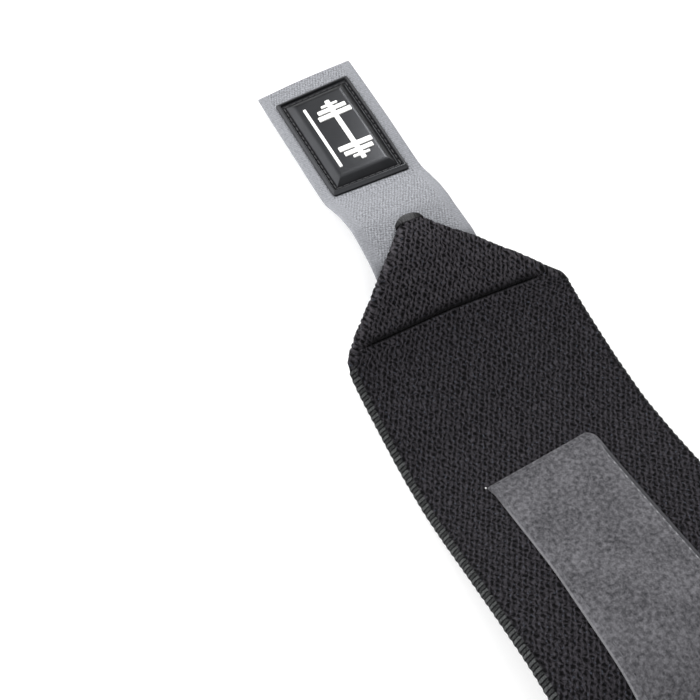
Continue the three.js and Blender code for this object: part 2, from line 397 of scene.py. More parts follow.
# %% Camera
FRAME_PX = 700
FOCAL_PX = 1100
SENSOR_MM = 36.0
AZIMUTH = math.radians(63.15)
ELEVATION = math.radians(63.5)
DISTANCE = 367.6 * MM
AIM_PAST_TIP = 26.47 * MM
AIM_ASIDE = -34.18 * MM
AIM = Vector((tip[0] + AIM_PAST_TIP, AIM_ASIDE, 0))

back = Vector((
    math.sin(AZIMUTH) * math.cos(ELEVATION),
    -math.cos(AZIMUTH) * math.cos(ELEVATION),
    math.sin(ELEVATION),
))
right = Vector((math.cos(AZIMUTH), math.sin(AZIMUTH), 0))
turn = Matrix((right, back.cross(right), back)).transposed().to_4x4()
lens = bpy.data.cameras.new("camera")
lens.sensor_width = SENSOR_MM
lens.lens = SENSOR_MM * FOCAL_PX / FRAME_PX
lens.clip_start = 0.01
camera = bpy.data.objects.new("camera", lens)
camera.matrix_world = Matrix.Translation(AIM + back * DISTANCE) @ turn
bpy.context.scene.collection.objects.link(camera)
bpy.context.scene.camera = camera
print("camera at", [round(v, 4) for v in camera.location])

# %% [markdown]
# ## The knit
# The band is a thick elastic warp knit. Dark holes sit between the stitches in a staggered
# pattern: one every 3 mm along the band, one every 1.88 mm across it, with the next row shifted by
# half of both. The finish and the mesh use the same pattern, but the finish lets its holes wander a
# little, so a hole's colour lies near its dip, not always in it.

# %% Knit pattern
COURSE = 3.0
WALE = 1.88


def knit_holes(along, across):
    """1 in the middle of each hole of the knit, falling to 0 on the yarn round it."""
    lean = np.cos(2 * np.pi * (along / COURSE - across / WALE))
    other = np.cos(2 * np.pi * (along / COURSE + across / WALE))
    return np.clip((lean + other) / 2, 0, 1)


# %% Knit finish
RUNG = 2.55
RUNG_LEAN = 0.25
CREASE_AT = 37.8
CREASE_BOW = 0.35
CREASE_PAINTED_SHADE = 0.92
HOLE_COLOUR = grey(9, 9, 10)


def knit_finish():
    f = Finish("black_knit")
    place, along, across = f.cloth()
    full_turn = 2 * math.pi
    a = along + (f.noise(place, 0.42, 2.0) - 0.5) * 3.0
    c = across + (f.noise(place, 0.53, 2.0) - 0.5) * 2.4
    lean = (a * (full_turn / COURSE) - c * (full_turn / WALE)).cosine()
    other = (a * (full_turn / COURSE) + c * (full_turn / WALE)).cosine()
    uneven = f.noise(place, 0.8, 2.0) - 0.5
    hole = ((lean + other) * 0.5 + uneven * 1.4).ramp(0.3, 0.9)
    strand = (0 - other).ramp(-0.4, 1.0) * 0.6 + (0 - lean).ramp(-0.4, 1.0) * 0.4
    down = f.join(a * 0.75 - c * 0.47, a * 1.1 + c * 1.75)
    aside = f.join(a * 1.1 - c * 1.75, a * 0.75 + c * 0.47)
    stroke = f.noise(down, 1.0, 2.0, 0.6, 0.5) * 0.65 + f.noise(aside, 1.0, 2.0, 0.6, 0.5) * 0.35
    fine = f.noise(place, 2.6, 2.0, 0.6)
    lit = (strand * 0.28 + stroke * 1.0 + (fine - 0.5) * 0.35).ramp(0.42, 0.96)
    yarn = f.mix(lit, grey(18, 17, 19), grey(58, 56, 60))
    # Painted light: the yarn on the folded point is lightened, as if more light fell on its slope.
    painted_point_light = 1 - along.ramp(30.0, 46.0)
    yarn = f.mix(painted_point_light * lit * 0.5, yarn, grey(84, 81, 85))
    # Painted highlights: sparse small bluish glints mixed into the yarn colour.
    painted_glint = f.noise(place, 1.1, 1.0).ramp(0.62, 0.74)
    yarn = f.mix(painted_glint * 0.5, yarn, grey(66, 71, 81))
    inset = BAND_WIDTH / 2 - across.absolute()
    from_edge = inset + across.ramp(0.0, 10.0) * 1.7
    edge = (1 - from_edge.ramp(1.9, 2.6)) * along.ramp(40.5, 44.0)
    pace = (along + inset * RUNG_LEAN) * (full_turn / RUNG) + uneven * 0.8
    rung = ((pace * 2).cosine() * 0.6 + pace.cosine() * 0.15 + 0.5).ramp(-0.2, 0.45)
    bright = (fine * 0.5 + stroke * 0.3 + pace.cosine() * 0.07).ramp(0.28, 0.6)
    rung_yarn = f.mix(bright, grey(42, 43, 43), grey(80, 82, 82))
    yarn = f.mix(edge * rung, yarn, rung_yarn)
    behind = (1 - (from_edge - 2.9).absolute().ramp(0.2, 0.7)) * (0 - pace.cosine()).ramp(-0.3, 0.6)
    dark = (hole + behind * 0.8).least(1.0) * (1 - edge) + edge * (1 - rung)
    # Painted shade: the crease is also a groove in the mesh, and its shade is painted into the colour
    # here as a dark line with a soft darkening on the point side.
    middle = 1 - (across / (BAND_WIDTH / 2)) ** 2
    wander = (f.noise(place, 0.12, 2.0) - 0.5) * 2.0
    past = along - CREASE_AT + CREASE_BOW * middle + wander * 0.5
    crease = past.ramp(-4.0, 0.1) ** 2 * (1 - past.ramp(0.2, 0.9)) * inset.ramp(4.5, 12.0)
    dark = 1 - (1 - dark) * (1 - crease * CREASE_PAINTED_SHADE)
    colour = f.mix(dark, yarn, HOLE_COLOUR)
    height = strand * 0.3 + stroke * 0.6 + fine * 0.3 - hole * 0.9
    return f.surface(
        base_color=colour,
        roughness=1.0,
        specular_ior_level=0.05,
        sheen_weight=0.03,
        normal=f.bump(height, 0.35 * MM, 0.9),
    )


KNIT = knit_finish()
print("the knit's finish has", len(KNIT.node_tree.nodes), "nodes")

# %% [markdown]
# ## The band
# The real point is made by folding the band's two corners under at 45 degrees, so the same is done
# here: the cloth runs over a bend along each slanted line and comes back under itself. The far
# end is turned under in the same way as a hem. Both folds are one function, which rolls a place
# round a bend as soon as it passes the line where the bend begins.

# %% Folding
CLOTH_THICKNESS = 2.4
BEND = 1.3
BEND_REACH = BEND + CLOTH_THICKNESS / 2
CUT_START = -2.25
SLANT_EASE = 0.4
ROW = COURSE / 4
COLUMN = WALE / 2


def roll_under(past, out):
    """Rolls places past a fold line: how far out they end up, and how far up from the top face.
    out is the place through the cloth, from its middle, positive on the face side."""
    angle = np.clip(past / BEND, 0, math.pi)
    flat = np.minimum(past, 0)
    beyond = np.maximum(past - math.pi * BEND, 0)
    level = -CLOTH_THICKNESS / 2 - BEND
    return flat + (BEND + out) * np.sin(angle) - beyond, level + (BEND + out) * np.cos(angle)


def fold_band(along, across, out):
    """Folds the flat cut: corners under along the slanted lines, and the hem at the far end."""
    side = np.where(across < 0, -1.0, 1.0)
    past = (np.abs(across) - along - SLANT_EASE) / math.sqrt(2) + BEND_REACH
    reach, up = roll_under(past, out)
    shift = (reach - past) / math.sqrt(2)
    at_point = along < BAND_LENGTH / 2
    past_hem = along - (BAND_LENGTH - BEND_REACH)
    reach_hem, up_hem = roll_under(past_hem, out)
    new_along = np.where(at_point, along - shift, along + reach_hem - past_hem)
    new_across = np.where(at_point, across + side * shift, across)
    return new_along, new_across, np.where(at_point, up, up_hem)


# %% [markdown]
# The face is not flat: each hole is a dip, the selvedge is a row of rounded rungs where the yarn
# turns back, and a pressed crease runs across the band where the folded corners end under it.

# %% Band
CUT_END = BAND_LENGTH + HEM_LENGTH - 2 * BEND_REACH + math.pi * BEND
CREASE_DEPTH = 1.3
CREASE_HALF_WIDTH = 0.4
CREASE_SLOPE = 2.2
CREASE_SLOPE_DEPTH = 0.6
CREASE_LEAN = 0.06
STEP_DOWN = 0.6
SWAY = 0.12
HOLE_DEPTH = 0.4
EDGE_ROUND = 1.6
RUNG_BULGE = 0.3
FOLD_BUMP = 0.16
UNFOLDED_FROM = 41.5
APEX = 2.4
POINT_EASE = [
    dict(along=-8, near=0.0, far=0.0),
    dict(along=5, near=-0.3, far=1.7),
    dict(along=14, near=-0.4, far=2.1),
    dict(along=22, near=-0.35, far=1.9),
    dict(along=26, near=-0.2, far=2.0),
    dict(along=30, near=-0.1, far=1.4),
    dict(along=36, near=-0.1, far=0.9),
    dict(along=40, near=1.35, far=1.1),
    dict(along=44, near=0.1, far=0.1),
    dict(along=49, near=0.0, far=0.0),
]
ease_along = [row["along"] for row in POINT_EASE]
near_ease = smooth_run(ease_along, [row["near"] for row in POINT_EASE])
far_ease = smooth_run(ease_along, [row["far"] for row in POINT_EASE])


def edge_columns(half, insets):
    side = half - np.array(insets)
    inner = np.arange(0, side[0] - COLUMN / 2, COLUMN)
    positive = np.concatenate([inner[1:], side])
    return np.concatenate([-positive[::-1], [0], positive])


def point_ease(along, across):
    """How far the folded point is drawn in from its plain outline, on its near and far side."""
    reach = across / (np.clip(along, 0, BAND_WIDTH / 2) + 2)
    near = near_ease(along) * np.clip(-reach, 0, 1)
    return far_ease(along) * np.clip(reach, 0, 1) - near


def crease_lean(along, across):
    """How far the crease and the cloth beside it slant along the band towards its far side."""
    inside = np.clip((along + 2 - across) / 5, 0, 1)
    beside = np.exp(-(((along - CREASE_AT) / 7) ** 2))
    return CREASE_LEAN * np.maximum(across, 0) * inside * beside


def band_rows():
    rows = np.arange(CUT_START, CUT_END + ROW / 2, ROW)
    rows = rows[np.abs(rows - CREASE_AT) > 1.2]
    close = CREASE_AT + np.array([-1.0, -0.6, -0.3, -0.1, 0.1, 0.3, 0.6, 1.0])
    return np.unique(np.concatenate([rows, close]))


def make_band():
    columns = edge_columns(BAND_WIDTH / 2, [1.5, 0.9, 0.4, 0.0])
    mesh, along, across, face = slab(
        "knit_band", band_rows(), columns, lambda a, c: a < 3.6 and abs(c) < 1.0
    )
    inset = BAND_WIDTH / 2 - np.abs(across)
    rung = 0.5 + 0.5 * np.cos(2 * np.pi * (along + inset * RUNG_LEAN) / RUNG)
    unfolded = np.clip((along - UNFOLDED_FROM) / 3, 0, 1)
    near_edge = np.clip(1 - inset / EDGE_ROUND, 0, 1) * unfolded
    half = CLOTH_THICKNESS / 2 * np.sqrt(np.clip(1 - (0.93 * near_edge) ** 2, 0, 1))
    half = half * (1 - 0.16 * near_edge * (1 - rung))
    rng = np.random.default_rng(5)
    uneven = rng.uniform(0.4, 1.3, len(along))
    at_fold = np.clip((np.abs(across) - along + 6) / 4, 0, 1)
    dips = HOLE_DEPTH * knit_holes(along, across) * (inset > EDGE_ROUND) * uneven * (1 + at_fold)
    from_crease = along - CREASE_AT
    fade = np.clip((inset - 4.5) / 7, 0, 1)
    crease = CREASE_DEPTH * np.exp(-((from_crease / CREASE_HALF_WIDTH) ** 2))
    slope = CREASE_SLOPE_DEPTH * np.exp(-((from_crease / CREASE_SLOPE) ** 2))
    crease = crease + slope * (from_crease < 0)
    after = np.clip(from_crease / 1.5, 0, 1)
    settle = STEP_DOWN * after * np.exp(-np.maximum(from_crease, 0) / 8) * fade
    sway = SWAY * np.sin(along / 7.3 + 0.6) * np.sin(across / 9.1 + 1.1)
    out = np.where(face, half - dips - crease * fade, -half + dips)
    full_turn = 2 * np.pi
    bumps = FOLD_BUMP * at_fold * np.cos(full_turn * along / COURSE)
    bumps = bumps * np.cos(full_turn * across / WALE)
    outward = np.sign(across) * RUNG_BULGE * rung * near_edge
    new_along, new_across, up = fold_band(along, across + outward, out)
    new_across = new_across - point_ease(new_along, new_across) + np.sign(across) * bumps
    new_along = np.where(new_along < APEX, APEX + (new_along - APEX) * 0.1, new_along)
    new_along = new_along + crease_lean(along, across)
    write_points(mesh, lay(new_along, new_across, up - settle + sway))
    write_cloth_map(mesh, along, across)
    return add_piece(mesh, KNIT, ["band"])


band = make_band()

# %% [markdown]
# ## The turned tip
# A small smooth end of tape wraps the tip of the point. It is a low rounded lip, so a small slab
# whose thickness falls off towards its rim gives it, with a Subdivision Surface to smooth it.

# %% Turned tip
CAP_FRONT = 1.7
CAP_BACK = 5.4
CAP_HALF_WIDTH = 5.4
CAP_SHIFT = 1.0
CAP_ROUND = 2.6
CAP_PROUD = 0.25
CAP_RIM = 0.05


def smooth_tape_finish():
    f = Finish("smooth_dark_tape")
    place, along, across = f.cloth()
    streak = f.noise(f.join(along * 0.5, across * 2.2), 1.0, 3.0, 0.6, 0.6)
    # Painted highlight: the crest of the rounded lip is made lighter in the colour.
    crest = 1 - ((across + CAP_SHIFT) / CAP_HALF_WIDTH).absolute().ramp(0.25, 0.95)
    light = streak * 0.75 + crest * 0.35
    colour = f.mix(light.ramp(0.42, 0.92), grey(22, 22, 23), grey(77, 77, 78))
    return f.surface(
        base_color=colour,
        roughness=0.8,
        specular_ior_level=0.15,
        normal=f.bump(streak, 0.3 * MM, 0.8),
    )


def make_turned_tip():
    mesh, ahead, share, face = slab("turned_tip", np.linspace(0, 1, 15), np.linspace(-1, 1, 19))
    nose = np.sqrt(1 - (1 - ahead) ** 2)
    half_width = CAP_HALF_WIDTH * (0.15 + 0.85 * nose)
    along = CAP_FRONT + (CAP_BACK - CAP_FRONT) * ahead + 0.5 * share**2 * (1 - ahead)
    side = (1 - np.abs(share)) * half_width
    front = ahead * (CAP_BACK - CAP_FRONT)
    inset = side * front / np.sqrt(side**2 + front**2 + 1e-9)
    rim = np.clip(1 - inset / CAP_ROUND, 0, 1)
    half = (BAND_THICKNESS + CAP_PROUD) * np.sqrt(1 - rim**2) + CAP_RIM
    up = np.where(face, half, -half) - BAND_THICKNESS
    across = share * half_width
    write_points(mesh, lay(along, across - CAP_SHIFT, up))
    write_cloth_map(mesh, along, across)
    piece = add_piece(mesh, smooth_tape_finish(), ["tip_cap"])
    smooth = piece.modifiers.new("smooth", "SUBSURF")
    smooth.levels = 2
    smooth.render_levels = 2
    return piece


make_turned_tip()

# %% [markdown]
# ## The tab's tape
# The tab is the back of a hook tape: a light grey weave with a fine slanted pattern in the middle
# and plain smooth selvedges. The end is cut square and bows slightly.

# %% Tape
SELVEDGE = 3.6


def tape_finish():
    f = Finish("grey_tape_weave")
    place, along, across = f.cloth()
    full_turn = 2 * math.pi
    uneven = f.noise(place, 0.9, 2.0) - 0.5
    slanted = (along * (full_turn / 2.9) + across * (-full_turn / 1.66) + uneven * 5.0).cosine()
    pick = (along * (full_turn / 1.35) + across * (full_turn / 3.1) + uneven * 5.0).cosine()
    weave = slanted * pick * 0.5 + 0.5
    plain = across.absolute().ramp(TAPE_WIDTH / 2 - SELVEDGE - 0.5, TAPE_WIDTH / 2 - SELVEDGE + 0.5)
    fine = (along * 7.5).cosine() * 0.5 + 0.5
    fibre = f.noise(place, 1.5, 3.0, 0.7, 0.6)
    fibre = (fibre - 0.5) * (1 - plain * 0.5) + 0.5
    relief = weave * (1 - plain) * 0.6 + fine * plain * 0.15 + plain * 0.25
    light = relief * 0.4 + fibre * 1.0
    colour = f.mix(light.ramp(0.36, 0.92), grey(95, 96, 100), grey(163, 165, 170))
    return f.surface(
        base_color=colour,
        roughness=0.85,
        specular_ior_level=0.3,
        normal=f.bump(relief + fibre * 0.5, 0.16 * MM, 0.8),
    )


TAPE = tape_finish()


def make_tape():
    rows = np.append(-TAB_LENGTH + TAPE_TRIM, np.arange(-TAB_LENGTH + 1, TAPE_TUCK + 0.5, 1.0))
    half_width = TAPE_WIDTH / 2
    inner = np.arange(2 - half_width, half_width - 1.5, 1.0)
    edges = half_width - np.array([1.2, 0.5, 0.15, 0.0])
    columns = np.concatenate([-edges[::-1], inner, edges])
    mesh, along, across, face = slab("tab_tape_weave", rows, columns)
    outward = np.clip(-along / TAB_LENGTH, 0, 1)
    bowed = along - TAPE_END_BOW * outward * (1 - (across / half_width) ** 2)
    inset = half_width - np.abs(across)
    half = TAPE_THICKNESS / 2 * np.where(inset < 0.5, 0.55 + 0.9 * inset, 1.0)
    half = half * np.where(along == rows[0], 0.8, 1.0)
    up = np.where(face, half, -half) + TAPE_TOP - TAPE_THICKNESS / 2
    write_points(mesh, lay(bowed, across, up))
    write_cloth_map(mesh, along, across)
    return add_piece(mesh, TAPE, ["tab_tape"])


tape = make_tape()

# %% [markdown]
# ## The hooks
# The tape's under face is a field of small nylon hooks. One hook is a short bent post made by
# extruding a square section in a few steps. It is repeated along a row, and the row across.

# %% Hook field
HOOK_PITCH_ALONG = 1.8
HOOK_PITCH_ACROSS = 1.7
HOOK_BASE = 0.25
HOOK_MARGIN = 1.5
HOOK_RADIUS = 0.16
HOOK_SINK = 0.05
HOOK_STEPS = [
    dict(lean=0.0, drop=0.35),
    dict(lean=0.22, drop=0.22),
    dict(lean=0.3, drop=0.0),
    dict(lean=0.16, drop=-0.16),
]


def repeat_hooks(bm, items, count, step):
    """Copies the items count times, each one a step further."""
    for i in range(1, count + 1):
        copy = bmesh.ops.duplicate(bm, geom=items)["geom"]
        verts = [item for item in copy if isinstance(item, bmesh.types.BMVert)]
        bmesh.ops.translate(bm, vec=step(i), verts=verts)


def make_hooks():
    top = TAPE_TOP - TAPE_THICKNESS
    rows = np.arange(-TAB_LENGTH + HOOK_MARGIN, TAPE_TUCK - HOOK_MARGIN, 2.0)
    half_width = TAPE_WIDTH / 2 - HOOK_MARGIN
    columns = np.linspace(-half_width, half_width, 8)
    mesh, along, across, face = slab("hook_backing", rows, columns)
    write_points(mesh, lay(along, across, np.where(face, top, top - HOOK_BASE)))
    write_cloth_map(mesh, along, across)

    bm = bmesh.new()
    bmesh.ops.create_circle(bm, cap_ends=True, segments=4, radius=HOOK_RADIUS)
    ring = bm.faces[:]
    for row in HOOK_STEPS:
        grown = bmesh.ops.extrude_face_region(bm, geom=ring)
        bmesh.ops.delete(bm, geom=ring, context="FACES_ONLY")
        ring = [item for item in grown["geom"] if isinstance(item, bmesh.types.BMFace)]
        corners = [item for item in grown["geom"] if isinstance(item, bmesh.types.BMVert)]
        bmesh.ops.translate(bm, vec=(row["lean"], 0, -row["drop"]), verts=corners)
    bmesh.ops.recalc_face_normals(bm, faces=bm.faces[:])
    length = rows[-1] - rows[0]
    count_along = int((length - 2) // HOOK_PITCH_ALONG)
    count_across = int((2 * half_width - 1.5) // HOOK_PITCH_ACROSS)
    one = bm.verts[:] + bm.edges[:] + bm.faces[:]
    repeat_hooks(bm, one, count_along, lambda i: (i * HOOK_PITCH_ALONG, 0, 0))
    whole_row = bm.verts[:] + bm.edges[:] + bm.faces[:]
    stagger = HOOK_PITCH_ALONG / 2
    repeat_hooks(bm, whole_row, count_across, lambda i: (stagger * (i % 2), i * HOOK_PITCH_ACROSS, 0))
    hooks = bpy.data.meshes.new("hooks")
    bm.to_mesh(hooks)
    bm.free()
    points = read_points(hooks)
    along = points[:, 0] + rows[0] + 1.0
    across = points[:, 1] - count_across * HOOK_PITCH_ACROSS / 2
    write_points(hooks, lay(along, across, points[:, 2] + top - HOOK_BASE + HOOK_SINK))
    f = Finish("grey_nylon")
    cloudy = f.noise(f.spot(), 900.0, 2.0)
    colour = f.mix(cloudy, grey(128, 129, 134), grey(160, 161, 166))
    nylon = f.surface(base_color=colour, roughness=0.45, specular_ior_level=0.5)
    add_piece(mesh, TAPE, ["hook_field"])
    add_piece(hooks, nylon)


make_hooks()

# %% [markdown]
# ## The moulded label
# The label is one moulding: a rim, a channel that takes the sewing, sloped sides and a flat
# raised pad. A single face is inset and moved again and again to draw that profile, its edges are
# bevelled, and planes cut it across so that it can follow the tape. Its corners are then rounded.

# %% Label
LABEL_BORDER = 5.6
LABEL_HEIGHT = 2.6
LABEL_START = -TAB_LENGTH + LABEL_SETBACK
LABEL_UNDER = TAPE_TOP + SEAT
PAD_UP = LABEL_UNDER + LABEL_HEIGHT
LABEL_EDGE = 0.6
CREST_ROUND = 0.9
EDGE_BEVEL = 0.14
LABEL_CORNER = 1.0
LABEL_FAR_EASE = 0.4
LABEL_END_EASE = 0.6
LABEL_STEPS = [
    dict(inset=1.0, rise=0.75),
    dict(inset=0.4, rise=0.0),
    dict(inset=0.25, rise=-1.0),
    dict(inset=1.2, rise=0.0),
    dict(inset=0.15, rise=0.35),
    dict(inset=2.6, rise=1.9),
]


def rubber_finish():
    f = Finish("black_moulded_rubber")
    place, along, across = f.cloth()
    grain = f.noise(place, 2.4, 2.0)
    cloud = f.noise(place, 0.16, 2.0)
    middle = LABEL_START + LABEL_LENGTH / 2
    end_inset = LABEL_LENGTH / 2 - (along - middle).absolute()
    inset = end_inset.least(LABEL_WIDTH / 2 - across.absolute())
    # Painted shade: the recessed stitching channel is darkened almost to black in the colour, and
    # also made rougher.
    channel_painted_shade = inset.ramp(1.4, 1.6) * (1 - inset.ramp(2.85, 3.05))
    colour = f.mix(cloud, grey(9, 9, 10), grey(15, 15, 16))
    colour = f.mix(channel_painted_shade * 0.9, colour, grey(2, 2, 3))
    rough = cloud.ramp(0.2, 0.8) * 0.1 + channel_painted_shade * 0.4 + 0.3
    return f.surface(
        base_color=colour,
        roughness=rough,
        specular_ior_level=0.36,
        specular_tint=(0.9, 0.93, 1.0, 1.0),
        normal=f.bump(grain, 0.02 * MM, 0.5),
    )


RUBBER = rubber_finish()


def to_cloth(mesh):
    """Lays a mesh whose own X, Y and Z are the flat millimetre places."""
    points = read_points(mesh)
    write_cloth_map(mesh, points[:, 0], points[:, 1])
    write_points(mesh, lay(points[:, 0], points[:, 1], points[:, 2]))


def bevel_edges(bm, edges, size, segments):
    bmesh.ops.bevel(
        bm, geom=edges, offset=size, offset_type="OFFSET", affect="EDGES",
        segments=segments, profile=0.5, material=-1, clamp_overlap=True,
    )


def soften_corners(mesh):
    """Turns the label's square corners round, ring by ring, and eases its far side in a little."""
    points = read_points(mesh)
    half_length, half_width = LABEL_LENGTH / 2, LABEL_WIDTH / 2
    u = (np.abs(points[:, 0]) - half_length + LABEL_CORNER) / LABEL_CORNER
    v = (np.abs(points[:, 1]) - half_width + LABEL_CORNER) / LABEL_CORNER
    shrink = np.where((u > 0) & (v > 0), np.maximum(u, v) / np.sqrt(u**2 + v**2 + 1e-9), 1)
    x = np.where(shrink < 1, half_length - LABEL_CORNER * (1 - u * shrink), np.abs(points[:, 0]))
    y = np.where(shrink < 1, half_width - LABEL_CORNER * (1 - v * shrink), np.abs(points[:, 1]))
    points[:, 0] = x * np.sign(points[:, 0])
    points[:, 1] = y * np.sign(points[:, 1])
    points[:, 1] -= LABEL_FAR_EASE * np.clip(points[:, 1] / half_width, 0, 1)
    points[:, 0] -= LABEL_END_EASE * np.clip(-points[:, 0] / half_length, 0, 1)
    points[:, 0] += LABEL_START + half_length
    points[:, 2] += LABEL_UNDER
    write_points(mesh, points)


def make_label():
    bm = bmesh.new()
    bmesh.ops.create_grid(bm, x_segments=1, y_segments=1, size=0.5)
    bmesh.ops.scale(bm, vec=(LABEL_LENGTH, LABEL_WIDTH, 1), verts=bm.verts[:])
    base = bmesh.ops.extrude_face_region(bm, geom=bm.faces[:])
    lifted = [item for item in base["geom"] if isinstance(item, bmesh.types.BMVert)]
    bmesh.ops.translate(bm, vec=(0, 0, LABEL_EDGE), verts=lifted)
    bmesh.ops.recalc_face_normals(bm, faces=bm.faces[:])
    top = max(bm.faces, key=lambda face: face.calc_center_median().z)
    for row in LABEL_STEPS:
        bmesh.ops.inset_individual(
            bm, faces=[top], thickness=row["inset"], depth=row["rise"], use_even_offset=True
        )
    pad_top = max(v.co.z for v in bm.verts)
    crest = [edge for edge in bm.edges if all(v.co.z > pad_top - 0.01 for v in edge.verts)]
    bevel_edges(bm, crest, CREST_ROUND, 5)
    sharp = [edge for edge in bm.edges if edge.calc_face_angle(0) > math.radians(12)]
    bevel_edges(bm, sharp, EDGE_BEVEL, 2)
    near_corner = LABEL_CORNER * np.array([1.0, 0.75, 0.5, 0.25])
    ends, sides = LABEL_LENGTH / 2 - near_corner, LABEL_WIDTH / 2 - near_corner
    between = np.arange(-LABEL_LENGTH / 2 + 3, LABEL_LENGTH / 2 - 2, 2.0)
    along_cuts = np.concatenate([-ends, between, ends])
    cuts = [((cut, 0, 0), (1, 0, 0)) for cut in along_cuts]
    cuts += [((0, cut, 0), (0, 1, 0)) for cut in np.concatenate([-sides, sides])]
    for place, normal in cuts:
        everything = bm.verts[:] + bm.edges[:] + bm.faces[:]
        bmesh.ops.bisect_plane(bm, geom=everything, plane_co=place, plane_no=normal)
    bmesh.ops.triangulate(bm, faces=[face for face in bm.faces if len(face.verts) > 4])
    mesh = bpy.data.meshes.new("moulded_label")
    bm.to_mesh(mesh)
    bm.free()
    soften_corners(mesh)
    to_cloth(mesh)
    piece = add_piece(mesh, RUBBER, ["label"])
    mesh.set_sharp_from_angle(angle=math.radians(35))
    return piece


make_label()

# %% [markdown]
# ## The raised print
# The pad carries a plain barbell and a line, moulded in white. Each is an outline that is filled,
# extruded and bevelled.

# %% Barbell and line
MOTIF_LENGTH = 31.0
MOTIF_WIDTH = 13.0
MOTIF_HEIGHT = 0.45
MOTIF_SHIFT = 1.8
STRIPE_WIDTH = 1.1
STRIPE_MARGIN = 1.6
PRINT_SINK = 0.05
PRINT_CORNER = 0.3
PRINT_BEVEL = 0.12
BARBELL_HALF = [
    dict(reach=0.46, spread=0.14),
    dict(reach=0.46, spread=1),
    dict(reach=0.6, spread=1),
    dict(reach=0.6, spread=0.14),
    dict(reach=0.65, spread=0.14),
    dict(reach=0.65, spread=0.86),
    dict(reach=0.77, spread=0.86),
    dict(reach=0.77, spread=0.14),
    dict(reach=0.82, spread=0.14),
    dict(reach=0.82, spread=0.5),
    dict(reach=0.89, spread=0.5),
    dict(reach=0.89, spread=0.14),
    dict(reach=1, spread=0.14),
]


def print_finish():
    f = Finish("white_moulded_rubber")
    cloud = f.noise(f.spot(), 300.0, 2.0)
    colour = f.mix(cloud, grey(232, 232, 230), grey(248, 248, 246))
    return f.surface(base_color=colour, roughness=0.45, specular_ior_level=0.4)


PRINT = print_finish()


def raised_shape(name, outline, nodes):
    bm = bmesh.new()
    rim = [bm.verts.new((along, across, PAD_UP - PRINT_SINK)) for along, across in outline]
    bm.faces.new(rim)
    base = bmesh.ops.extrude_face_region(bm, geom=bm.faces[:])
    lifted = [item for item in base["geom"] if isinstance(item, bmesh.types.BMVert)]
    bmesh.ops.translate(bm, vec=(0, 0, MOTIF_HEIGHT + PRINT_SINK), verts=lifted)
    bmesh.ops.recalc_face_normals(bm, faces=bm.faces[:])
    upper = PAD_UP + MOTIF_HEIGHT - 0.01
    posts = [edge for edge in bm.edges if abs(edge.verts[0].co.z - edge.verts[1].co.z) > 0.1]
    bevel_edges(bm, posts, PRINT_CORNER, 3)
    crown = [edge for edge in bm.edges if all(v.co.z > upper for v in edge.verts)]
    bevel_edges(bm, crown, PRINT_BEVEL, 2)
    for cut in np.arange(LABEL_START + 2, LABEL_START + LABEL_LENGTH, 4.0):
        everything = bm.verts[:] + bm.edges[:] + bm.faces[:]
        bmesh.ops.bisect_plane(bm, geom=everything, plane_co=(cut, 0, 0), plane_no=(1, 0, 0))
    bmesh.ops.triangulate(bm, faces=[face for face in bm.faces if len(face.verts) > 4])
    mesh = bpy.data.meshes.new(name)
    bm.to_mesh(mesh)
    bm.free()
    to_cloth(mesh)
    piece = add_piece(mesh, PRINT, nodes)
    mesh.set_sharp_from_angle(angle=math.radians(35))
    return piece


def barbell_outline():
    middle = LABEL_START + LABEL_LENGTH / 2
    quarter = [
        (row["reach"] * MOTIF_LENGTH / 2, row["spread"] * MOTIF_WIDTH / 2) for row in BARBELL_HALF
    ]
    away = quarter + [(x, -y) for x, y in reversed(quarter)]
    whole = away + [(-x, -y) for x, y in away]
    return [(middle + x, MOTIF_SHIFT + y) for x, y in reversed(whole)]


def line_outline():
    middle = LABEL_START + LABEL_LENGTH / 2
    edge = -LABEL_WIDTH / 2 + LABEL_BORDER + STRIPE_MARGIN
    start, end = middle - MOTIF_LENGTH / 2, middle + MOTIF_LENGTH / 2
    top = edge + STRIPE_WIDTH
    return [(start, edge), (end, edge), (end, top), (start, top)]


raised_shape("raised_barbell", barbell_outline(), ["label_motif"])
raised_shape("raised_line", line_outline(), ["label_stripe"])

# %% [markdown]
# ## The loop strip
# The strip on the band is brushed loop pile on a thin tape: a matt mottled grey, with a painted
# highlight, a thin brighter line along each edge where the tape's selvedge would catch the light.
# Its face is uneven, so the slab is fine enough to carry the tufts.

# %% Loop strip
STRIP_HEIGHT = 1.65
STRIP_EDGE = 0.75
STRIP_CORNER = 4.3
STRIP_EASE = [
    dict(past=0, left=-0.6),
    dict(past=4, left=0.2),
    dict(past=32, left=0.4),
    dict(past=60, left=-0.6),
    dict(past=STRIP_LENGTH, left=-0.6),
]
STRIP_SKEW = 1.2
BARE_EDGE = 1.1
TUFT = 0.09
PILE_STEP = 0.7


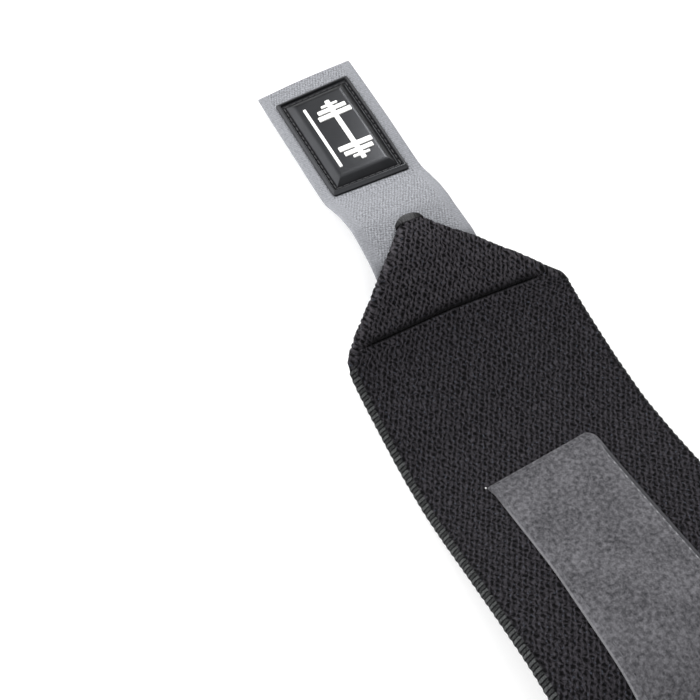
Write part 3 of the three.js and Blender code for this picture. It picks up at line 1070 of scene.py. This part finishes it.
def pile_finish():
    f = Finish("grey_loop_pile")
    place, along, across = f.cloth()
    tuft = f.noise(place, 0.75, 2.0, 0.55, 0.2)
    fibre = f.noise(place, 1.9, 3.0, 0.7)
    patch = f.noise(place, 0.08, 2.0)
    light = tuft * 0.8 + fibre * 0.4 + patch * 0.3
    colour = f.mix(light.ramp(0.46, 1.14), grey(45, 45, 48), grey(112, 111, 115))
    left_side = across + STRIP_WIDTH / 2
    right_side = STRIP_WIDTH / 2 - across
    bared = (along - STRIP_START).ramp(3, 9)
    bare = (1 - right_side.ramp(BARE_EDGE - 0.1, BARE_EDGE + 0.1)) * bared
    # Painted highlights: thin bright lines along both edges of the pile, fading in past the corner.
    right_painted_highlight = 1 - (right_side - bared * BARE_EDGE).ramp(0.25, 0.9)
    past_corner = (along - STRIP_START).ramp(1, 16)
    left_painted_highlight = 1 - left_side.ramp(0.05, 0.45)
    colour = f.mix(left_painted_highlight * past_corner * 0.6, colour, grey(134, 134, 137))
    colour = f.mix(right_painted_highlight * past_corner * 0.8, colour, grey(170, 170, 174))
    colour = f.mix(bare, colour, grey(66, 66, 69))
    return f.surface(
        base_color=colour,
        roughness=0.95,
        specular_ior_level=0.08,
        sheen_weight=0.12,
        normal=f.bump(tuft + fibre * 0.6, 0.4 * MM, 0.9),
    )


def make_loop_strip():
    end = STRIP_START + STRIP_LENGTH
    inner = np.arange(STRIP_START + PILE_STEP, end - 0.6, PILE_STEP)
    rows = np.concatenate([[STRIP_START, STRIP_START + 0.25], inner, [end - 0.25, end]])
    half_width = STRIP_WIDTH / 2
    edges = half_width - np.array([1.0, 0.5, 0.2, 0.0])
    middle = np.arange(1.5 - half_width, half_width - 1.4, PILE_STEP)
    columns = np.concatenate([-edges[::-1], middle, [half_width - 1.2], edges])
    mesh, along, across, face = slab("loop_pile", rows, columns)
    from_end = np.minimum(along - STRIP_START, end - along)
    inset = np.minimum(half_width - np.abs(across), from_end)
    rng = np.random.default_rng(9)
    bare = BARE_EDGE * (across > 0) * np.clip((along - STRIP_START - 3) / 6, 0, 1)
    tufts = rng.normal(0, TUFT, len(along)) * np.clip((inset - bare - 0.3) / 1.5, 0, 1)
    shoulder = np.clip((inset - bare) / 1.0, 0, 1)
    height = STRIP_EDGE + (STRIP_HEIGHT - STRIP_EDGE) * np.sqrt(1 - (1 - shoulder) ** 2) + tufts
    up = np.where(face, height, SEAT)
    into = np.clip(1 - (along - STRIP_START) / STRIP_CORNER, 0, 1)
    pull = STRIP_CORNER * (1 - np.sqrt(1 - into**2)) * (across > 0)
    across_in = across - pull * np.clip(across / half_width, 0, 1) ** 4
    left_ease = smooth_run([row["past"] for row in STRIP_EASE], [row["left"] for row in STRIP_EASE])
    across_in = across_in + left_ease(along - STRIP_START) * np.clip(-across / half_width, 0, 1)
    skew_left = np.clip(1 - (along - STRIP_START) / 25, 0, 1)
    skew = STRIP_SKEW * (across / half_width + 1) / 2 * skew_left
    write_points(mesh, lay(along - skew, across_in, up))
    write_cloth_map(mesh, along, across)
    return add_piece(mesh, pile_finish(), ["loop_strip"])


strip = make_loop_strip()

# %% [markdown]
# ## The sewing
# Each stitch is a short thread that dips in at both ends, so a long ball, squashed into a thin
# spindle, stands for it. Rows of them follow the channel of the label, the hem and the strip.

# %% Sewing
def thread_finish(name, low, high, shine=0.12):
    f = Finish(name)
    twist = f.noise(f.spot(), 2500.0, 2.0)
    return f.surface(
        base_color=f.mix(twist, low, high),
        roughness=0.6,
        specular_ior_level=shine,
        normal=f.bump(twist, 0.05 * MM, 0.6),
    )


def stitch_line(start, end, pitch):
    """Middles and directions of the stitches from one place to another."""
    start, end = np.array(start, float), np.array(end, float)
    length = np.linalg.norm(end - start)
    count = max(1, int(round(length / pitch)))
    heading = math.atan2(end[1] - start[1], end[0] - start[0])
    return [(start + (end - start) * (i + 0.5) / count, heading) for i in range(count)]


def sew(name, lines, up, pitch, length, radius, material):
    bm = bmesh.new()
    for start, end in lines:
        for middle, heading in stitch_line(start, end, pitch):
            place = Matrix.Translation((middle[0], middle[1], up))
            turned = place @ Matrix.Rotation(heading, 4, "Z")
            spindle = turned @ Matrix.Diagonal((length / 2, radius, radius, 1))
            bmesh.ops.create_uvsphere(bm, u_segments=8, v_segments=6, radius=1, matrix=spindle)
    mesh = bpy.data.meshes.new(name)
    bm.to_mesh(mesh)
    bm.free()
    to_cloth(mesh)
    return add_piece(mesh, material)


def frame_lines(low_along, high_along, half_across):
    corners = [
        (low_along, -half_across), (high_along, -half_across),
        (high_along, half_across), (low_along, half_across),
    ]
    return [(corners[i], corners[(i + 1) % 4]) for i in range(4)]


BLACK_THREAD = thread_finish("black_thread", grey(16, 16, 17), grey(62, 62, 65), 0.5)
GREY_THREAD = thread_finish("grey_thread", grey(72, 72, 75), grey(104, 104, 108))
PALE_THREAD = thread_finish("pale_thread", grey(170, 170, 170), grey(205, 205, 205))
CHANNEL = 2.25
LABEL_END = LABEL_START + LABEL_LENGTH
sew(
    "label_sewing",
    frame_lines(LABEL_START + CHANNEL, LABEL_END - CHANNEL, LABEL_WIDTH / 2 - CHANNEL),
    LABEL_UNDER + 0.56, 2.6, 2.5, 0.3, BLACK_THREAD,
)
HEM_ROWS = [BAND_LENGTH - HEM_LENGTH + 2.0, BAND_LENGTH - HEM_LENGTH + 5.0]
sew(
    "hem_sewing",
    [((row, -BAND_WIDTH / 2 + 2), (row, BAND_WIDTH / 2 - 2)) for row in HEM_ROWS],
    -0.05, 3.2, 2.9, 0.3, BLACK_THREAD,
)
STRIP_SEAM = STRIP_WIDTH / 2 - 1.6
sew(
    "strip_sewing",
    frame_lines(STRIP_START + 1.3, STRIP_START + STRIP_LENGTH - 1.3, STRIP_SEAM),
    STRIP_HEIGHT - 0.08, 3.0, 2.4, 0.2, GREY_THREAD,
)
sew(
    "strip_thread_end",
    [((STRIP_START - 0.5, -STRIP_WIDTH / 2 - 1.1), (STRIP_START + 0.1, -STRIP_WIDTH / 2 - 0.9))],
    0.7, 3.0, 0.75, 0.3, PALE_THREAD,
)

# %% [markdown]
# ## Floor and light
# The wrap lies on a pale floor with a faint glow of its own, painted light that keeps its shadows
# faint. A broad soft light stands to its left, a small one to its right that draws the thin line
# along the label's crest, a large one hangs above the tab, and a weak one in front lifts the folded
# point.

# %% Studio
LIT_PLACE = Vector((-0.15, 0, 0))
# Painted light: the floor is given a faint emission so that shadows on it wash out.
PAINTED_FLOOR_GLOW = dict(emission_color=(1.0, 1.0, 1.0, 1.0), emission_strength=0.2)
FLOOR_DOWN = 0.2 * MM
FLOOR_HALF = 4
SKY = 0.38
LIGHTS = [
    dict(name="left", place=(-0.72, -0.92, 0.46), size=1.35, power=19),
    dict(name="right", place=(-0.84, 0.66, 0.72), size=0.36, power=8),
    dict(name="top", place=(-0.75, 0.15, 1.35), size=1.4, power=10),
    dict(name="front", place=(0.9, -0.7, 0.8), size=0.7, power=8),
]


def make_floor():
    bm = bmesh.new()
    bmesh.ops.create_grid(bm, x_segments=1, y_segments=1, size=FLOOR_HALF)
    mesh = bpy.data.meshes.new("floor")
    bm.to_mesh(mesh)
    bm.free()
    f = Finish("pale_floor")
    mesh.materials.append(f.surface(base_color=grey(244, 244, 244), roughness=0.9, **PAINTED_FLOOR_GLOW))
    floor = bpy.data.objects.new("floor", mesh)
    floor.location.z = -FLOOR_DOWN
    bpy.context.scene.collection.objects.link(floor)


def add_light(name, place, size, power):
    data = bpy.data.lights.new(name, "AREA")
    data.size = size
    data.energy = power
    light = bpy.data.objects.new(name, data)
    light.location = place
    light.rotation_euler = (LIT_PLACE - light.location).to_track_quat("-Z", "Y").to_euler()
    bpy.context.scene.collection.objects.link(light)


make_floor()
world = bpy.data.worlds.new("studio")
world.use_nodes = True
background = world.node_tree.nodes["Background"]
background.inputs["Color"].default_value = (1, 1, 1, 1)
background.inputs["Strength"].default_value = SKY
bpy.context.scene.world = world
for light in LIGHTS:
    add_light(**light)
bpy.context.scene.view_settings.view_transform = "Standard"
print("lights:", [light["name"] for light in LIGHTS])
